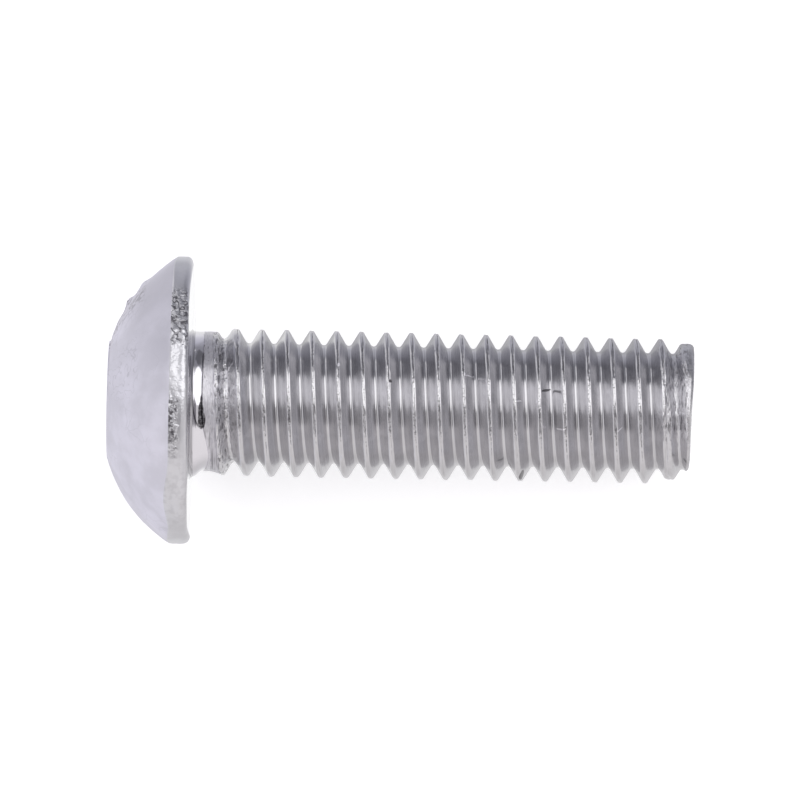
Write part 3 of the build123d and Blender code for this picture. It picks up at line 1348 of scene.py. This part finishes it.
def set_world(room):
    """A soft room for the steel to reflect, and plain white behind the screw."""
    world = bpy.data.worlds.new("Studio")
    bpy.context.scene.world = world
    world.use_nodes = True
    tree = Tree(world.node_tree)
    way = tree.wire("ShaderNodeTexCoord", output="Generated")
    light = tree.group(room, {"Way": way})["Light"]
    card_across = Matrix.Rotation(-CARD_LEAN, 3, TIP_WAY) @ SIDE_WAY
    off = way.dot(card_across) / math.sin(CARD_HALF_ACROSS)
    far = (way.dot(TIP_WAY) - math.sin(CARD_TO_TIP)) / math.sin(CARD_HALF_ALONG)
    overhead = way.dot(-DOWN_WAY).span(0.0, 0.1)
    on_card = overhead * (off**2.0 + far**2.0).span(1.3, 0.6)
    camera_ray = tree.wire("ShaderNodeLightPath", output="Is Camera Ray")
    seen = layered(light, (on_card, CARD), (camera_ray, WHITE))
    tree.give(tree.nodes["Background"], {"Color": seen})


def floor_reflection(tree, room):
    """What the steel sees of the floor: the room's light, by place round the screw's edge."""
    from_face = tree.wire("ShaderNodeNewGeometry", output="Position") - BEARING
    along = from_face.dot(TIP_WAY)
    across = from_face.dot(SIDE_WAY)
    beside = along.span(0.6 * MM, 2.0 * MM, HEAD_RADIUS, 0.6 * MM)
    under = maths("MINIMUM", most(across, beside * -1.0), beside)
    from_edge = from_face - tree.scaled(SIDE_WAY, under)
    light = tree.group(room, {"Way": from_edge, "Ends": 0.0})["Light"]
    past_head = along.span(-1.2 * MM, -2.6 * MM)

    # painted shade: a greyer strip on the far side, close beside the thread, in the floor as the steel
    # sees it
    far_floor_shade = across.span(0.4 * MM, 0.9 * MM) * across.span(1.8 * MM, 2.5 * MM, 0.34, 0.0)
    far_floor_shade = far_floor_shade * along.span(0.5 * MM, 1.0 * MM)
    return layered(light, (past_head, HEAD_WALL), (far_floor_shade, BLACK))


def add_floor(studio, room):
    """A wide pale floor at the table's level, which keeps the screw's shadow."""
    mesh = bpy.data.meshes.new("Floor")
    corners = [(-FLOOR_HALF, -FLOOR_HALF, 0), (FLOOR_HALF, -FLOOR_HALF, 0)]
    corners += [(FLOOR_HALF, FLOOR_HALF, 0), (-FLOOR_HALF, FLOOR_HALF, 0)]
    mesh.from_pydata(corners, [], [(0, 1, 2, 3)])
    material = bpy.data.materials.new("Pale floor")
    material.use_nodes = True
    tree = Tree(material.node_tree)
    rays = tree.wires(tree.node("ShaderNodeLightPath"))
    mirrored = most(rays["Is Glossy Ray"], rays["Is Transmission Ray"])
    inputs = {
        "Base Color": mirrored.between((*studio.floor_colour, 1), BLACK),
        "Roughness": 0.9,
        "Specular IOR Level": 0.0,
        "Emission Color": mirrored.between(FLOOR_GLOW, floor_reflection(tree, room)),
        "Emission Strength": most(rays["Is Camera Ray"], mirrored),
    }
    tree.give(tree.nodes["Principled BSDF"], inputs)
    mesh.materials.append(material)
    added("Floor", mesh)


# ---------------------------------------------------------------------------------------------
# Operators, panel and main
# ---------------------------------------------------------------------------------------------


class SCREW_OT_make_screw(bpy.types.Operator):
    """Builds the screw's skin and gives each stretch of it its finish"""

    bl_idname = "screw.make_screw"
    bl_label = "Make Screw"

    def execute(self, context):
        scene = context.scene
        finish = scene.screw_finish
        groups = shared_groups(scene.screw_shank)
        materials = {
            "socket": punched_socket(groups, finish),
            "dome": tumbled_dome(groups, finish),
            "rim": forged_rim(groups, finish),
            "bearing": bearing_steel(groups, finish),
            "neck": drawn_neck(groups, finish, scene.screw_shank),
            "thread": rolled_thread(groups, finish, scene.screw_shank),
            "tip": cut_tip(groups, finish),
        }
        skin = build_skin(scene.screw_head, scene.screw_shank)
        screw = skin_object(skin, "stainless_screw", [materials[name] for name in FINISHES])
        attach(screw, "root")
        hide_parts(CAD_NODE)
        return {"FINISHED"}


class SCREW_OT_set_studio(bpy.types.Operator):
    """Adds the floor, the soft box, the room light and the camera"""

    bl_idname = "screw.set_studio"
    bl_label = "Set Studio"

    def execute(self, context):
        studio = context.scene.screw_studio
        room = room_group()
        add_floor(studio, room)
        set_world(room)
        add_soft_box(studio)
        add_camera(studio)
        context.scene.view_settings.view_transform = "Standard"
        return {"FINISHED"}


class SCREW_PT_panel(bpy.types.Panel):
    """The screw's sizes, colours and studio"""

    bl_idname = "SCREW_PT_panel"
    bl_label = "Button Head Screw"
    bl_space_type = "VIEW_3D"
    bl_region_type = "UI"
    bl_category = "Screw"

    def draw(self, context):
        for title, name in SETTINGS:
            box = self.layout.box()
            box.label(text=title)
            settings = getattr(context.scene, name)
            for prop in settings.bl_rna.properties:
                if prop.identifier not in ("rna_type", "name"):
                    box.prop(settings, prop.identifier)
        self.layout.operator(SCREW_OT_make_screw.bl_idname)
        self.layout.operator(SCREW_OT_set_studio.bl_idname)


SETTINGS = (
    ("Head", "screw_head"),
    ("Shank", "screw_shank"),
    ("Finish", "screw_finish"),
    ("Studio", "screw_studio"),
)
GROUPS = (HeadSizes, ShankSizes, FinishColours, StudioSettings)
CLASSES = GROUPS + (SCREW_OT_make_screw, SCREW_OT_set_studio, SCREW_PT_panel)


def register():
    for each in CLASSES:
        bpy.utils.register_class(each)
    for (_, name), group in zip(SETTINGS, GROUPS):
        setattr(bpy.types.Scene, name, bpy.props.PointerProperty(type=group))


def unregister():
    for _, name in SETTINGS:
        delattr(bpy.types.Scene, name)
    for each in reversed(CLASSES):
        bpy.utils.unregister_class(each)


def main():
    register()
    bpy.ops.screw.make_screw()
    bpy.ops.screw.set_studio()


if __name__ == "__main__":
    main()
